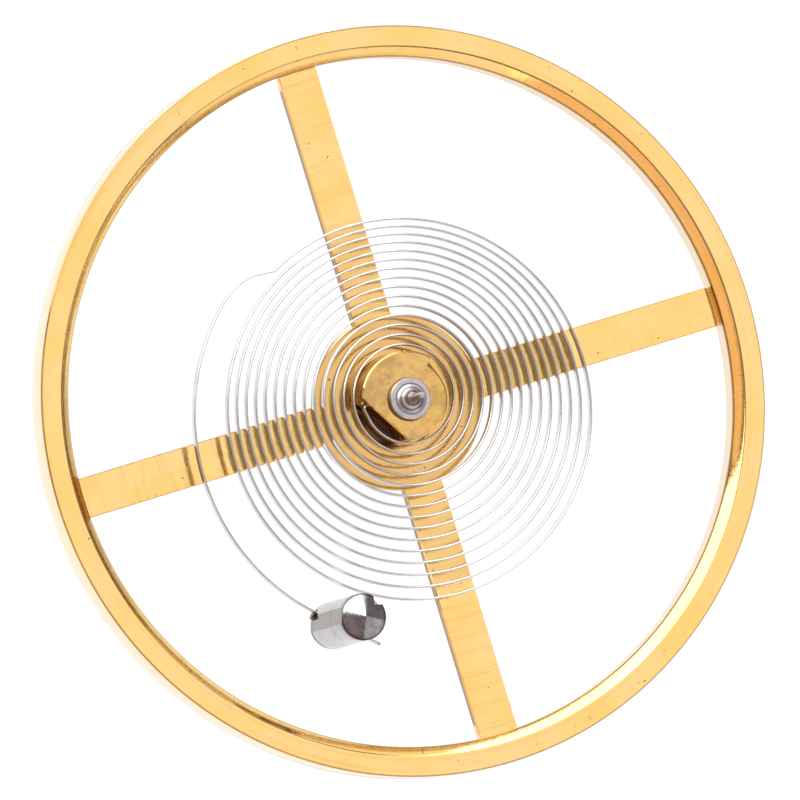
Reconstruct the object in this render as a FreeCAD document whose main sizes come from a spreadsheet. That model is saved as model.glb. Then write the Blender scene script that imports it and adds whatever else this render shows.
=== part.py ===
import FreeCAD, Part
import math
import os
import Sketcher

# Balance wheel complete with its hairspring, as lifted from a wrist watch.
# The origin is the tip of the lower pivot, +Z runs up the staff, and the four
# arms lie along X and Y. All sizes are millimetres, all angles degrees.

SIZES = {
    # Staff, from the lower tip upwards
    "pivot_radius": 0.05,
    "pivot_length": 0.32,
    "pivot_bevel": 0.012,
    "lower_flare_radius": 0.17,
    "lower_flare_length": 0.32,
    "roller_seat_radius": 0.21,
    "roller_seat_length": 0.83,
    "flange_radius": 0.62,
    "flange_height": 0.19,
    "wheel_seat_radius": 0.42,
    "rivet_radius": 0.50,
    "rivet_height": 0.05,
    "collet_seat_radius": 0.28,
    "collet_seat_length": 0.57,
    "shoulder_bevel": 0.02,
    "upper_flare_radius": 0.19,
    "upper_flare_length": 0.24,
    # Wheel
    "wheel_radius": 5.025,
    "rim_height": 0.46,
    "rim_drop": 0.02,
    "rim_face": 0.28,
    "rim_slope_width": 0.13,
    "rim_slope_height": 0.12,
    "rim_edge_bevel": 0.02,
    "arm_width": 0.54,
    "arm_thickness": 0.14,
    "arm_count": 4,
    "hub_radius": 1.17,
    # Double roller and its jewel
    "table_radius": 0.95,
    "table_thickness": 0.20,
    "roller_neck_radius": 0.36,
    "roller_height": 0.79,
    "safety_radius": 0.50,
    "safety_thickness": 0.30,
    "roller_bevel": 0.02,
    "crescent_radius": 0.20,
    "crescent_distance": 0.56,
    "jewel_radius": 0.15,
    "jewel_flat": 0.07,
    "jewel_distance": 0.72,
    "jewel_length": 0.62,
    "jewel_rise": 0.02,
    # Collet and the pin in its cross hole
    "collet_radius": 0.535,
    "collet_height": 0.45,
    "collet_gap": 0.02,
    "collet_bevel": 0.02,
    "lobe_radius": 0.65,
    "lobe_start": 44.0,
    "flat_distance": 0.42,
    "flat_angle": 212.0,
    "cross_hole_distance": 0.385,
    "pin_clearance": 0.004,
    "pin_taper": 0.012,
    "collet_pin_length": 0.94,
    "collet_pin_overhang": 0.01,
    # Hairspring
    "strip_thickness": 0.03,
    "strip_height": 0.12,
    "strip_level": 0.275,
    "strip_offset": 0.03,
    "inner_tail": 0.90,
    "coil_start_angle": 200.0,
    "coil_start_radius": 0.608,
    "coil_pitch": 0.1352,
    "whole_turns": 14,
    "coil_end_angle": 117.0,
    "inner_shift_x": 0.04,
    "inner_shift_y": 0.05,
    "outer_shift_x": -0.01,
    "outer_shift_y": -0.16,
    "elbow_radius": 0.05,
    "dogleg_sweep": 14.0,
    "terminal_step": 0.286,
    "terminal_shift_x": -0.09,
    "terminal_shift_y": -0.22,
    "stud_angle": 228.0,
    "lead_in_radius": 0.90,
    "lead_in_sweep": 35.0,
    "outer_tail": 0.95,
    # Stud and its pin
    "stud_radius": 0.315,
    "stud_length": 1.63,
    "stud_run": 0.29,
    "stud_foot": 0.145,
    "stud_cone_height": 0.13,
    "stud_bevel": 0.03,
    "stud_facet_distance": 0.297,
    "stud_facet_angle": 202.0,
    "stud_notch_offset": 0.155,
    "stud_notch_depth": 0.30,
    "stud_notch_angle": 28.0,
    "stud_pin_length": 0.70,
    "stud_pin_overhang": 0.04,
}

# Sizes that follow from the ones above
FOLLOWING = {
    "arm_half_width": "=arm_width / 2",
    "strip_half_height": "=strip_height / 2",
    "strip_half_thickness": "=strip_thickness / 2",
    "strip_far_side": "=strip_offset + strip_half_thickness",
    "pin_hole_radius": "=sqrt(strip_half_height ^ 2 + strip_far_side ^ 2) + pin_clearance",
}

doc = FreeCAD.newDocument("balance_wheel")
sheet = doc.addObject("Spreadsheet::Sheet", "sizes")
for row, (alias, amount) in enumerate({**SIZES, **FOLLOWING}.items(), start=1):
    sheet.set("A%d" % row, alias)
    sheet.set("B%d" % row, str(amount))
    sheet.setAlias("B%d" % row, alias)
doc.recompute()


# First guess of how far a flare bends away from its chord, before the sketch is solved
FLARE_BOW = 0.12
# Two points closer than this count as one
TOUCHING = 1e-6
# A chord that leans less than this from a direction counts as straight
STRAIGHT = 1e-9
# Share of a turn over which the spiral's direction is taken
DIRECTION_STEP = 1e-4


# Reading chains of named sizes, such as "arm_thickness + rivet_height"

def amount_of(chain):
    """The number that a chain of named sizes adds up to."""
    total = 0.0
    sign = 1.0
    for word in chain.split():
        if word in "+-":
            sign = 1.0 if word == "+" else -1.0
        elif word != "0":
            total += sign * sheet.get(word)
    return total


def bound(chain):
    """The same chain as an expression on the sheet."""
    return " ".join(word if word in "+-0" else "sizes." + word for word in chain.split())


def plane_of(body, role):
    """One of the body's own origin planes or axes."""
    return next(item for item in body.Origin.OriginFeatures if item.Role == role)


def new_body(label, level=None):
    """A body whose local zero height lies at a level above the lower pivot's tip."""
    body = doc.addObject("PartDesign::Body", label)
    body.Label = label
    if level:
        body.setExpression("Placement.Base.z", bound(level))
    return body


def new_sketch(body, name, role, height="0", turn=None):
    """A sketch on an origin plane, lifted by a height and turned by a named angle."""
    sketch = body.newObject("Sketcher::SketchObject", name)
    sketch.AttachmentSupport = (plane_of(body, role), [""])
    sketch.MapMode = "FlatFace"
    sketch.AttachmentOffset = FreeCAD.Placement(
        FreeCAD.Vector(0, 0, 0), FreeCAD.Rotation(FreeCAD.Vector(0, 0, 1), 0.0))
    sketch.setExpression("AttachmentOffset.Base.z", bound(height))
    if turn:
        sketch.setExpression("AttachmentOffset.Rotation.Angle", bound(turn))
    return sketch


def pin_point(sketch, geometry, point, corner):
    """Ties a point of the sketch to a pair of chains of named sizes."""
    for kind, chain, axis in (("DistanceX", corner[0], -2), ("DistanceY", corner[1], -1)):
        if chain == "0":
            sketch.addConstraint(Sketcher.Constraint("PointOnObject", geometry, point, axis))
        else:
            index = sketch.addConstraint(
                Sketcher.Constraint(kind, -1, 1, geometry, point, amount_of(chain)))
            sketch.setExpression("Constraints[%d]" % index, bound(chain))


def outline(sketch, corners, smooth=None):
    """A closed outline of straight sides. Smooth maps a side to the corner at which
    that side, bent to an arc, runs on from its straight neighbour."""
    smooth = smooth or {}
    spots = [FreeCAD.Vector(amount_of(x), amount_of(y), 0) for x, y in corners]
    count = len(spots)
    sides = []
    ends = []
    for index, start in enumerate(spots):
        finish = spots[(index + 1) % count]
        curve = Part.LineSegment(start, finish)
        if index in smooth:
            bow = (finish - start).cross(FreeCAD.Vector(0, 0, FLARE_BOW))
            curve = Part.Arc(start, (start + finish) * 0.5 - bow, finish)
        side = sketch.addGeometry(curve, False)
        # An arc always runs anticlockwise, so its ends may be swapped
        first = sketch.getPoint(side, 1)
        swapped = (first - start).Length > (first - finish).Length
        sides.append(side)
        ends.append((2, 1) if swapped else (1, 2))
        pin_point(sketch, side, ends[index][0], corners[index])
    for index, side in enumerate(sides):
        after = (index + 1) % count
        runs_on = smooth.get(index) == after or smooth.get(after) == after
        kind = "Tangent" if runs_on else "Coincident"
        sketch.addConstraint(Sketcher.Constraint(
            kind, side, ends[index][1], sides[after], ends[after][0]))


def circle(sketch, centre, radius):
    """A circle whose centre and radius are chains of named sizes."""
    spot = FreeCAD.Vector(amount_of(centre[0]), amount_of(centre[1]), 0)
    index = sketch.addGeometry(
        Part.Circle(spot, FreeCAD.Vector(0, 0, 1), amount_of(radius)), False)
    pin_point(sketch, index, 3, centre)
    size = sketch.addConstraint(Sketcher.Constraint("Radius", index, amount_of(radius)))
    sketch.setExpression("Constraints[%d]" % size, bound(radius))


def turned(body, name, corners, smooth=None):
    """A turned solid: an outline of radius and height, revolved about the staff axis."""
    sketch = new_sketch(body, name + "_section", "XZ_Plane")
    outline(sketch, corners, smooth)
    revolve = body.newObject("PartDesign::Revolution", name)
    revolve.Profile = sketch
    revolve.ReferenceAxis = (plane_of(body, "Z_Axis"), [""])
    revolve.Angle = 360.0
    return revolve


def padded(body, name, sketch, height):
    """A pad of a sketch up to a named height."""
    pad = body.newObject("PartDesign::Pad", name)
    pad.Profile = sketch
    pad.setExpression("Length", bound(height))
    return pad


def pocketed(body, name, sketch, depth=None, both_ways=False):
    """A pocket down from a sketch, or right through in both directions."""
    pocket = body.newObject("PartDesign::Pocket", name)
    pocket.Profile = sketch
    if depth:
        pocket.setExpression("Length", bound(depth))
    else:
        pocket.Type = "ThroughAll"
        pocket.Midplane = both_ways
    return pocket


# Levels above the lower pivot's tip

ROLLER_LEVEL = "pivot_length + lower_flare_length"
FLANGE_LEVEL = ROLLER_LEVEL + " + roller_seat_length"
ARM_LEVEL = FLANGE_LEVEL + " + flange_height"
ARM_TOP = ARM_LEVEL + " + arm_thickness"
RIVET_TOP = ARM_TOP + " + rivet_height"
COLLET_LEVEL = RIVET_TOP + " + collet_gap"
STRIP_LEVEL = ARM_TOP + " + strip_level"
HOLE_RISE = "strip_level - rivet_height - collet_gap"
STUD_LEVEL = STRIP_LEVEL + " - stud_foot"
SHOULDER_LEVEL = RIVET_TOP + " + collet_seat_length"
UPPER_PIVOT_LEVEL = SHOULDER_LEVEL + " + upper_flare_length"
TOP_LEVEL = UPPER_PIVOT_LEVEL + " + pivot_length"


def balance_wheel():
    """The annular rim with its inside slope, four plain arms and the hub."""
    body = new_body("balance_wheel", ARM_LEVEL)
    low = "0 - rim_drop"
    high = "rim_height - rim_drop"
    inner = "wheel_radius - rim_face - rim_slope_width"
    turned(body, "rim", [
        (inner + " + rim_edge_bevel", low),
        ("wheel_radius - rim_edge_bevel", low),
        ("wheel_radius", low + " + rim_edge_bevel"),
        ("wheel_radius", high + " - rim_edge_bevel"),
        ("wheel_radius - rim_edge_bevel", high),
        ("wheel_radius - rim_face", high),
        (inner, high + " - rim_slope_height"),
        (inner, low + " + rim_edge_bevel"),
    ])
    arm_sketch = new_sketch(body, "arm_outline", "XY_Plane")
    rectangle(arm_sketch, ("0", "0 - arm_half_width"),
              ("wheel_radius - rim_face", "arm_half_width"))
    arm = padded(body, "arm", arm_sketch, "arm_thickness")
    arms = body.newObject("PartDesign::PolarPattern", "arms")
    arms.Originals = [arm]
    arms.Axis = (plane_of(body, "Z_Axis"), [""])
    arms.Angle = 360.0
    arms.setExpression("Occurrences", "sizes.arm_count")
    body.Tip = arms
    hub_sketch = new_sketch(body, "hub_outline", "XY_Plane")
    circle(hub_sketch, ("0", "0"), "hub_radius")
    padded(body, "hub", hub_sketch, "arm_thickness")
    bore_sketch = new_sketch(body, "bore_outline", "XY_Plane")
    circle(bore_sketch, ("0", "0"), "wheel_seat_radius")
    body.Tip = pocketed(body, "bore", bore_sketch, both_ways=True)
    return body


def balance_staff():
    """The turned staff: pivots with flared roots, seats, flange and rivet lip."""
    body = new_body("balance_staff")
    turned(body, "staff", [
        ("0", "0"),
        ("pivot_radius - pivot_bevel", "0"),
        ("pivot_radius", "pivot_bevel"),
        ("pivot_radius", "pivot_length"),
        ("lower_flare_radius", ROLLER_LEVEL),
        ("roller_seat_radius", ROLLER_LEVEL),
        ("roller_seat_radius", FLANGE_LEVEL),
        ("flange_radius", FLANGE_LEVEL),
        ("flange_radius", ARM_LEVEL),
        ("wheel_seat_radius", ARM_LEVEL),
        ("wheel_seat_radius", ARM_TOP),
        ("rivet_radius", ARM_TOP),
        ("rivet_radius - shoulder_bevel", RIVET_TOP),
        ("collet_seat_radius", RIVET_TOP),
        ("collet_seat_radius", SHOULDER_LEVEL + " - shoulder_bevel"),
        ("collet_seat_radius - shoulder_bevel", SHOULDER_LEVEL),
        ("upper_flare_radius", SHOULDER_LEVEL),
        ("pivot_radius", UPPER_PIVOT_LEVEL),
        ("pivot_radius", TOP_LEVEL + " - pivot_bevel"),
        ("pivot_radius - pivot_bevel", TOP_LEVEL),
        ("0", TOP_LEVEL),
    ], smooth={3: 3, 16: 17})
    return body


def double_roller():
    """Impulse table above, safety roller below with its crescent, one turned piece."""
    body = new_body("double_roller", FLANGE_LEVEL + " - roller_height")
    table_foot = "roller_height - table_thickness"
    turned(body, "rollers", [
        ("roller_seat_radius", "0"),
        ("safety_radius", "0"),
        ("safety_radius", "safety_thickness"),
        ("roller_neck_radius", "safety_thickness"),
        ("roller_neck_radius", table_foot),
        ("table_radius - roller_bevel", table_foot),
        ("table_radius", table_foot + " + roller_bevel"),
        ("table_radius", "roller_height - roller_bevel"),
        ("table_radius - roller_bevel", "roller_height"),
        ("roller_seat_radius", "roller_height"),
    ])
    crescent_sketch = new_sketch(body, "crescent_outline", "XY_Plane", "safety_thickness")
    circle(crescent_sketch, ("crescent_distance", "0"), "crescent_radius")
    pocketed(body, "crescent", crescent_sketch, "safety_thickness")
    seat_sketch = new_sketch(body, "jewel_seat_outline", "XY_Plane", "roller_height")
    jewel_outline(seat_sketch, "jewel_distance", "pin_clearance")
    body.Tip = pocketed(body, "jewel_seat", seat_sketch, "table_thickness")
    return body


def jewel_outline(sketch, distance, room="0"):
    """A circle with its outer side cut flat, as an impulse jewel has it."""
    middle = amount_of(distance)
    radius = amount_of("jewel_radius + " + room)
    flat = amount_of("jewel_flat + " + room)
    edge = math.sqrt(radius ** 2 - flat ** 2)
    low = FreeCAD.Vector(middle + flat, -edge, 0)
    high = FreeCAD.Vector(middle + flat, edge, 0)
    back = FreeCAD.Vector(middle - radius, 0, 0)
    arc = sketch.addGeometry(Part.Arc(high, back, low), False)
    line = sketch.addGeometry(Part.LineSegment(low, high), False)
    sketch.addConstraint(Sketcher.Constraint("Coincident", arc, 2, line, 1))
    sketch.addConstraint(Sketcher.Constraint("Coincident", arc, 1, line, 2))
    sketch.addConstraint(Sketcher.Constraint("Vertical", line))
    pin_point(sketch, arc, 3, (distance, "0"))
    size = sketch.addConstraint(Sketcher.Constraint("Radius", arc, radius))
    sketch.setExpression("Constraints[%d]" % size, bound("jewel_radius + " + room))
    reach = sketch.addConstraint(Sketcher.Constraint("DistanceX", -1, 1, line, 1, middle + flat))
    sketch.setExpression("Constraints[%d]" % reach, bound(distance + " + jewel_flat + " + room))


def impulse_jewel():
    """The half-round ruby that drives the pallet fork, set through the table."""
    body = new_body("impulse_jewel", FLANGE_LEVEL + " + jewel_rise - jewel_length")
    sketch = new_sketch(body, "jewel_section", "XY_Plane")
    jewel_outline(sketch, "jewel_distance")
    padded(body, "jewel", sketch, "jewel_length")
    return body


# Plane geometry of the hairspring

def heading(angle):
    """The unit vector at an angle in degrees."""
    turn = math.radians(angle)
    return FreeCAD.Vector(math.cos(turn), math.sin(turn), 0)


def left_of(direction):
    """A direction turned left by a quarter turn."""
    return FreeCAD.Vector(-direction.y, direction.x, 0)


def arc_from(start, direction, finish):
    """The arc that leaves start along a direction and ends at finish, or a line."""
    chord = finish - start
    side = left_of(direction)
    lean = chord.dot(side)
    if abs(lean) < STRAIGHT * chord.Length:
        return Part.LineSegment(start, finish).toShape()
    centre = start + side * (chord.Length ** 2 / (2 * lean))
    radius = (start - centre).Length
    middle = (start + finish) * 0.5 - centre
    if middle.Length < STRAIGHT:
        middle = direction
    outward = middle.normalize() * radius
    if chord.dot(direction) < 0:
        outward = outward * -1
    return Part.Arc(start, centre + outward, finish).toShape()


def biarc(start, direction, finish, last_direction):
    """Two tangent arcs from one point and direction to another."""
    chord = finish - start
    both = direction + last_direction
    spread = 2 * (1 - direction.dot(last_direction))
    reach = chord.dot(both)
    if spread < STRAIGHT ** 2:
        length = chord.Length ** 2 / (2 * reach)
    else:
        length = (math.sqrt(reach ** 2 + spread * chord.Length ** 2) - reach) / spread
    middle = (start + direction * length + finish - last_direction * length) * 0.5
    first = arc_from(start, direction, middle)
    second = arc_from(finish, last_direction * -1, middle)
    return [first, second]


def linked(start, direction, finish, last_direction, radius):
    """A turn, a straight run and a turn of one radius: the shortest such way."""
    ways = []
    for first_side in (1, -1):
        for last_side in (1, -1):
            first_centre = start + left_of(direction) * radius * first_side
            last_centre = finish + left_of(last_direction) * radius * last_side
            between = last_centre - first_centre
            lean = 0.0
            if first_side != last_side:
                if between.Length <= 2 * radius:
                    continue
                lean = math.degrees(math.asin(2 * radius / between.Length)) * first_side
            run = FreeCAD.Rotation(FreeCAD.Vector(0, 0, 1), lean).multVec(between).normalize()
            leave = first_centre - left_of(run) * radius * first_side
            meet = last_centre - left_of(run) * radius * last_side
            edges = []
            if (leave - start).Length > TOUCHING:
                edges.append(arc_from(start, direction, leave))
            edges.append(Part.LineSegment(leave, meet).toShape())
            if (finish - meet).Length > TOUCHING:
                edges.append(arc_from(meet, run, finish))
            ways.append((sum(edge.Length for edge in edges), edges))
    return min(ways, key=lambda way: way[0])[1]


def coil_turns():
    """Turns from the elbow to the dogleg."""
    rest = (amount_of("coil_end_angle - coil_start_angle") / 360.0) % 1.0
    return amount_of("whole_turns") + rest


def coil_radius(turns):
    """Distance from the drifting centre after so many turns from the start."""
    return amount_of("coil_start_radius") + amount_of("coil_pitch") * turns


def coil_centre(turns):
    """The centre drifts: the inner turns sit to one side, the outer ones sag."""
    part = turns / coil_turns()
    inner = FreeCAD.Vector(amount_of("inner_shift_x"), amount_of("inner_shift_y"), 0)
    outer = FreeCAD.Vector(amount_of("outer_shift_x"), amount_of("outer_shift_y"), 0)
    return inner * (1 - part) + outer * part ** 3


def coil_point(turns):
    """A point of the spiral."""
    angle = amount_of("coil_start_angle") + 360.0 * turns
    return coil_centre(turns) + heading(angle) * coil_radius(turns)


def coil_direction(turns):
    """The spiral's direction there, from two points close to each other."""
    ahead = coil_point(turns + DIRECTION_STEP)
    behind = coil_point(turns - DIRECTION_STEP)
    return (ahead - behind).normalize()


def terminal_circle():
    """Centre and radius of the outer curve that runs on to the stud."""
    centre = FreeCAD.Vector(amount_of("terminal_shift_x"), amount_of("terminal_shift_y"), 0)
    return centre, coil_radius(coil_turns()) + amount_of("terminal_step")


def hairspring_path():
    """The strip's centre line: pinned inner end, elbow, turns, dogleg, outer curve, tail."""
    flat_normal = heading(amount_of("flat_angle"))
    pinned_line = left_of(flat_normal) * -amount_of("cross_hole_distance - strip_offset")
    elbow_start = pinned_line + flat_normal * amount_of("flat_distance")
    inner_end = elbow_start - flat_normal * amount_of("inner_tail")
    bend = amount_of("elbow_radius")
    edges = [Part.LineSegment(inner_end, elbow_start).toShape()]
    edges += linked(elbow_start, flat_normal, coil_point(0), coil_direction(0), bend)
    # Half turns, and what is left over at the end
    turns = coil_turns()
    steps = [k / 2 for k in range(math.ceil(turns * 2))] + [turns]
    for start, finish in zip(steps, steps[1:]):
        edges += biarc(coil_point(start), coil_direction(start),
                       coil_point(finish), coil_direction(finish))
    centre, radius = terminal_circle()
    first = amount_of("coil_end_angle + dogleg_sweep")
    last = amount_of("stud_angle")
    lead_radius = amount_of("lead_in_radius")
    lead_centre = centre + heading(first) * (radius - lead_radius)
    lead_angle = first - amount_of("lead_in_sweep")
    lead_start = lead_centre + heading(lead_angle) * lead_radius
    edges += linked(coil_point(turns), coil_direction(turns),
                    lead_start, heading(lead_angle + 90), bend)
    join = centre + heading(first) * radius
    edges.append(arc_from(lead_start, heading(lead_angle + 90), join))
    end = centre + heading(last) * radius
    edges.append(arc_from(join, heading(first + 90), end))
    edges.append(Part.LineSegment(end, end + heading(last + 90) * amount_of("outer_tail")).toShape())
    return edges


def hairspring():
    """The flat spiral strip, one unbroken ribbon swept along its path."""
    edges = hairspring_path()
    path = Part.Wire(edges)
    start = edges[0].Vertexes[0].Point
    along = (edges[0].Vertexes[1].Point - start).normalize()
    side = left_of(along) * (amount_of("strip_thickness") / 2)
    rise = FreeCAD.Vector(0, 0, amount_of("strip_height") / 2)
    corners = [start + side + rise, start - side + rise, start - side - rise, start + side - rise]
    section = Part.makePolygon(corners + corners[:1])
    spring = doc.addObject("Part::Feature", "hairspring")
    spring.Label = "hairspring"
    spring.Shape = path.makePipeShell([section], True, False)
    spring.Placement = FreeCAD.Placement(
        FreeCAD.Vector(0, 0, amount_of(STRIP_LEVEL)), FreeCAD.Rotation())
    expected = amount_of("strip_thickness") * amount_of("strip_height") * path.Length
    print("hairspring: length %.2f mm, volume %.5f of %.5f mm3, least gap to itself %.3f mm"
          % (path.Length, spring.Shape.Volume, expected, least_gap(path)))
    return spring


def least_gap(path):
    """The smallest clearance between stretches of the strip that aren't neighbours."""
    spacing = amount_of("coil_pitch") / 4
    points = path.discretize(Distance=spacing)
    skip = math.ceil(math.pi * amount_of("coil_start_radius") / spacing)
    nearest = min((a - b).Length for k, a in enumerate(points) for b in points[k + skip:])
    return nearest - amount_of("strip_thickness")


# Collet, pins and stud

def bevelled(body, name, level, size, inner_radius):
    """A chamfer on the outer edges at one height, outside a radius."""
    base = body.Tip
    names = []
    for index, edge in enumerate(base.Shape.Edges, start=1):
        box = edge.BoundBox
        spot = edge.valueAt((edge.FirstParameter + edge.LastParameter) / 2)
        flat = box.ZLength < TOUCHING and abs(box.ZMin - level) < TOUCHING
        if flat and math.hypot(spot.x, spot.y) > inner_radius:
            names.append("Edge%d" % index)
    chamfer = body.newObject("PartDesign::Chamfer", name)
    chamfer.Base = (base, names)
    chamfer.setExpression("Size", bound(size))
    return chamfer


def rectangle(sketch, low, high):
    """An upright rectangle between two corners of named sizes."""
    outline(sketch, [low, (high[0], low[1]), high, (low[0], high[1])])


def collet():
    """A disc with a raised lobe, a flat, the staff's bore and the cross hole that
    leaves the flat squarely. Local X is the flat's normal."""
    body = new_body("collet", COLLET_LEVEL)
    disc = new_sketch(body, "disc_outline", "XY_Plane")
    circle(disc, ("0", "0"), "collet_radius")
    padded(body, "disc", disc, "collet_height")
    section = new_sketch(body, "lobe_section", "XZ_Plane")
    rectangle(section, ("0", "0"), ("lobe_radius", "collet_height"))
    lobe = body.newObject("PartDesign::Revolution", "lobe")
    lobe.Profile = section
    lobe.ReferenceAxis = (plane_of(body, "Z_Axis"), [""])
    lobe.setExpression("Angle", bound("flat_angle - lobe_start"))
    lobe.Reversed = True
    flat = new_sketch(body, "flat_outline", "XY_Plane", "collet_height")
    rectangle(flat, ("flat_distance", "0 - lobe_radius"),
              ("flat_distance + lobe_radius", "lobe_radius"))
    pocketed(body, "flat", flat)
    doc.recompute()
    bevelled(body, "face_edge", amount_of("collet_height"), "collet_bevel",
             amount_of("collet_seat_radius"))
    bore = new_sketch(body, "staff_bore_outline", "XY_Plane", "collet_height")
    circle(bore, ("0", "0"), "collet_seat_radius")
    pocketed(body, "staff_bore", bore)
    hole = new_sketch(body, "cross_hole_outline", "YZ_Plane")
    circle(hole, ("0 - cross_hole_distance", HOLE_RISE), "pin_hole_radius")
    body.Tip = pocketed(body, "cross_hole", hole, both_ways=True)
    body.setExpression("Placement.Rotation.Angle", bound("flat_angle"))
    return body


def terminal_end():
    """Where the outer curve ends and the straight run into the stud begins."""
    centre, radius = terminal_circle()
    return centre + heading(amount_of("stud_angle")) * radius


def stud_place(level):
    """The stud's axis just outside the strip, with local X along the strip."""
    run = amount_of("stud_angle") + 90
    along = heading(run)
    spot = terminal_end() + along * amount_of("stud_run") - left_of(along) * amount_of("strip_offset")
    spot.z = amount_of(level)
    return FreeCAD.Placement(spot, FreeCAD.Rotation(FreeCAD.Vector(0, 0, 1), run))


def hairspring_stud():
    """The round stud: coned upper face, lengthwise facet, nick and cross hole."""
    body = new_body("hairspring_stud")
    turned(body, "round", [
        ("0", "0"),
        ("stud_radius - stud_bevel", "0"),
        ("stud_radius", "stud_bevel"),
        ("stud_radius", "stud_length - stud_cone_height"),
        ("0", "stud_length"),
    ])
    facet = new_sketch(body, "facet_outline", "XY_Plane", "stud_length", "stud_facet_angle")
    rectangle(facet, ("stud_facet_distance", "0 - stud_radius"),
              ("stud_facet_distance + stud_radius", "stud_radius"))
    pocketed(body, "facet", facet)
    nick = new_sketch(body, "nick_outline", "XY_Plane", "stud_length", "stud_notch_angle")
    rectangle(nick, ("stud_notch_offset", "stud_notch_offset"),
              ("stud_notch_offset + stud_radius", "stud_notch_offset + stud_radius"))
    pocketed(body, "nick", nick, "stud_notch_depth")
    hole = new_sketch(body, "stud_hole_outline", "YZ_Plane")
    circle(hole, ("0", "stud_foot"), "pin_hole_radius")
    body.Tip = pocketed(body, "stud_hole", hole, both_ways=True)
    body.Placement = stud_place(STUD_LEVEL)
    return body


def taper_pin(label, length, start, axis, face):
    """A flattened taper pin along local X, beside the strip in its hole. It starts
    at one place along local X; its axis and its flat face are places along local Y."""
    cone = doc.addObject("Part::Cone", label + "_round")
    cone.setExpression("Radius1", bound("pin_hole_radius - pin_clearance"))
    cone.setExpression("Radius2", bound("pin_hole_radius - pin_clearance - pin_taper"))
    cone.setExpression("Height", bound(length))
    cone.Placement.Rotation = FreeCAD.Rotation(FreeCAD.Vector(0, 1, 0), 90)
    cone.setExpression("Placement.Base.x", bound(start))
    cone.setExpression("Placement.Base.y", bound(axis))
    side = doc.addObject("Part::Box", label + "_flattened")
    side.setExpression("Length", bound(length))
    side.setExpression("Width", bound("pin_hole_radius + strip_offset"))
    side.setExpression("Height", bound("pin_hole_radius + pin_hole_radius"))
    side.setExpression("Placement.Base.x", bound(start))
    side.setExpression("Placement.Base.y", bound(face))
    side.setExpression("Placement.Base.z", bound("0 - pin_hole_radius"))
    pin = doc.addObject("Part::Cut", label)
    pin.Label = label
    pin.Base = cone
    pin.Tool = side
    return pin


def collet_pin():
    """The brass pin outside the strip in the collet's cross hole."""
    strip_face = "0 - cross_hole_distance + strip_offset - strip_half_thickness"
    pin = taper_pin("collet_pin", "collet_pin_length",
                    "flat_distance + collet_pin_overhang - collet_pin_length",
                    "0 - cross_hole_distance", strip_face + " - pin_clearance")
    pin.setExpression("Placement.Base.z", bound(STRIP_LEVEL))
    pin.setExpression("Placement.Rotation.Angle", bound("flat_angle"))
    return pin


def stud_pin():
    """The brass pin outside the strip in the stud's cross hole."""
    pin = taper_pin("stud_pin", "stud_pin_length",
                    "stud_radius + stud_pin_overhang - stud_pin_length",
                    "0", "strip_offset - strip_half_thickness - pin_clearance")
    pin.Placement = stud_place(STRIP_LEVEL)
    return pin


built = [balance_wheel(), balance_staff(), double_roller(), impulse_jewel(), collet(),
         collet_pin(), hairspring(), hairspring_stud(), stud_pin()]
doc.recompute()

faults = [item.Label for item in doc.Objects if "Invalid" in item.State or "Error" in item.State]
faults += [item.Label for item in built if item.Shape.isNull() or not item.Shape.isValid()]
if faults:
    raise RuntimeError("not built: " + ", ".join(faults))
for item in built:
    print("%-16s volume %.4f mm3, solids %d" % (item.Label, item.Shape.Volume, len(item.Shape.Solids)))

os.makedirs("parts", exist_ok=True)
for item in built:
    item.Shape.exportStep("parts/%s.step" % item.Label)
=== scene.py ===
import math

import bmesh
import bpy
import numpy as np
from mathutils import Matrix, Vector


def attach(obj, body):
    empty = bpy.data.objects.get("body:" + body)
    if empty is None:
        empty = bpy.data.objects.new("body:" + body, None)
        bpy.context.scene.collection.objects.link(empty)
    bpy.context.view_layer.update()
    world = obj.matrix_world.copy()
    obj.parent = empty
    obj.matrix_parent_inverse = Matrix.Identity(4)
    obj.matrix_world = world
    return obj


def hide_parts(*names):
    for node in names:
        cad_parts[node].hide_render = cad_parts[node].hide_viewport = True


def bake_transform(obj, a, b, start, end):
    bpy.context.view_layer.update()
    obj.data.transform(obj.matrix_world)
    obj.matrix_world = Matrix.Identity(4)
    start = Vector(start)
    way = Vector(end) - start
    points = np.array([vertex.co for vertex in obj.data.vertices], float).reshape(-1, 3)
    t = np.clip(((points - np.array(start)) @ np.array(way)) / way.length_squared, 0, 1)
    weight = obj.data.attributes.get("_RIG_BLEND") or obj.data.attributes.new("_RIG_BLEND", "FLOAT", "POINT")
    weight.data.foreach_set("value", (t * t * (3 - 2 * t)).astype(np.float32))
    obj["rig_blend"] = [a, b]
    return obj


# Balance wheel with its hairspring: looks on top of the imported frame.
# Lengths are in millimetres here and turned to metres where Blender gets them.

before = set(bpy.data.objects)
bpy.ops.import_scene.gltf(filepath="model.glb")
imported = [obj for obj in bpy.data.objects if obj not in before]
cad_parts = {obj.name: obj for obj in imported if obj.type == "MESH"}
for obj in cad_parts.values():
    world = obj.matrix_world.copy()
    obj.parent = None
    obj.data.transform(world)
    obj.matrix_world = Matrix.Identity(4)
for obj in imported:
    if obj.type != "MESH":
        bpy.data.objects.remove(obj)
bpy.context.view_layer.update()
MM = 0.001


# Sizes of the object, as in the model's source

ARM_TOP = 1.80
ARM_THICKNESS = 0.14
ARM_BOTTOM = ARM_TOP - ARM_THICKNESS
ARM_HALF_WIDTH = 0.27
HUB_RADIUS = 1.17
WHEEL_BORE = 0.42
RIM_LOW = ARM_BOTTOM - 0.02
RIM_HIGH = RIM_LOW + 0.46
RIM_OUTER = 5.025
FACE_INNER = RIM_OUTER - 0.28
SLOPE_INNER = FACE_INNER - 0.13
SLOPE_LOW = RIM_HIGH - 0.12

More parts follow.
